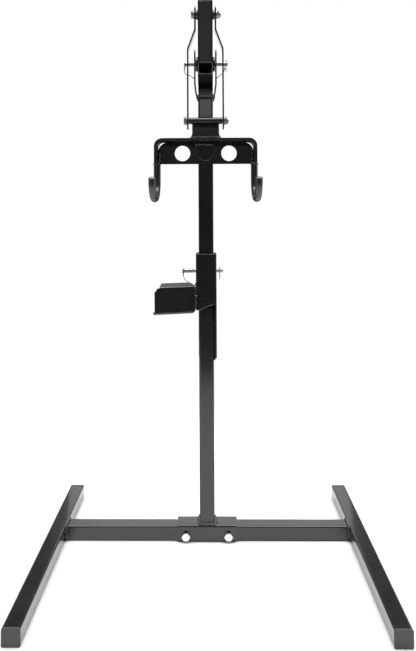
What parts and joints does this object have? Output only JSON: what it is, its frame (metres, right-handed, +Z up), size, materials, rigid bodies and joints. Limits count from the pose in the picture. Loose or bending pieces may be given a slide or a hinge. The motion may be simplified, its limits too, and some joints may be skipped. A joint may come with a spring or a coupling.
{
  "type": "paddock stand",
  "caption": "Floor lift stand for a motorcycle: H-shaped base, pinned telescopic post, and an over-centre lever that raises a saddle with J hooks.",
  "frame": {"origin": "on the floor under the middle of the whole stand, handle included", "axes": "+Z up along the post, -Y towards the vehicle and the hooks, +Y along the handle"},
  "size_m": [0.798, 0.9131, 1.377],
  "materials": {
    "black_powder_coat": "semi-gloss",
    "zinc_plate": "bright",
    "cap_plastic": "satin",
    "grip_rubber": "matte",
    "lanyard_wire": "satin"
  },
  "bodies": {
    "stand": {"base_bolts": "zinc_plate", "base_lock_nuts": "zinc_plate", "base_saddle": "black_powder_coat", "base_washers": "zinc_plate", "crossbar": "black_powder_coat", "fork_bracket": "black_powder_coat", "height_lanyard": "lanyard_wire", "height_pin": "zinc_plate", "lanyard_eye": "zinc_plate", "lanyard_tab": "black_powder_coat", "left_rail": "black_powder_coat", "left_rail_back_cap": "cap_plastic", "left_rail_front_cap": "cap_plastic", "lower_post": "black_powder_coat", "pivot_lanyard_left": "lanyard_wire", "pivot_lanyard_right": "lanyard_wire", "pivot_pin": "zinc_plate", "post_sleeve": "black_powder_coat", "right_rail": "black_powder_coat", "right_rail_back_cap": "cap_plastic", "right_rail_front_cap": "cap_plastic", "shelf_bracket": "black_powder_coat", "upper_post": "black_powder_coat"},
    "lever": {"handle_tube": "black_powder_coat", "handle_grip": "grip_rubber", "crank_tube": "black_powder_coat", "crank_cap": "cap_plastic", "pivot_bush": "zinc_plate", "pivot_spacer_left": "black_powder_coat", "pivot_spacer_right": "black_powder_coat", "crank_bolt": "zinc_plate", "crank_washers": "zinc_plate", "crank_lock_nut": "zinc_plate", "crank_spacer_left": "black_powder_coat", "crank_spacer_right": "black_powder_coat"},
    "links": {"link_left": "black_powder_coat", "link_right": "black_powder_coat"},
    "saddle": {"cross_tube": "black_powder_coat", "cross_bolt": "zinc_plate", "cross_washers": "zinc_plate", "cross_lock_nut": "zinc_plate", "neck_plate": "black_powder_coat", "saddle_bar": "black_powder_coat", "web_plate": "black_powder_coat", "centre_ring": "black_powder_coat", "hook_left": "black_powder_coat", "hook_right": "black_powder_coat"},
    "height_clip": {"height_pin_clip": "zinc_plate"},
    "pivot_clip": {"pivot_pin_clip": "zinc_plate"}
  },
  "joints": [
    {"name": "lever_pivot", "type": "hinge", "parent": "stand", "child": "lever", "pos_m": [0, -0.06125, 1.217], "axis": [1, 0, 0], "range_deg": [0, 110]},
    {"name": "link_swing", "type": "hinge", "parent": "lever", "child": "links", "pos_m": [0, -0.06925, 1.342], "axis": [1, 0, 0], "range_deg": [-110, 0]},
    {"name": "saddle_tilt", "type": "hinge", "parent": "links", "child": "saddle", "pos_m": [0, -0.09555, 1.067], "axis": [1, 0, 0], "range_deg": [-75, 0]},
    {"name": "height_clip_pull", "type": "slide", "parent": "stand", "child": "height_clip", "axis": [0, 0, -1], "range_m": [0, 0.03]},
    {"name": "pivot_clip_pull", "type": "slide", "parent": "stand", "child": "pivot_clip", "axis": [0, 0, -1], "range_m": [0, 0.03]}
  ],
  "couplings": [
    {"joint": "link_swing", "follows": "lever_pivot", "ratio": -1}
  ]
}
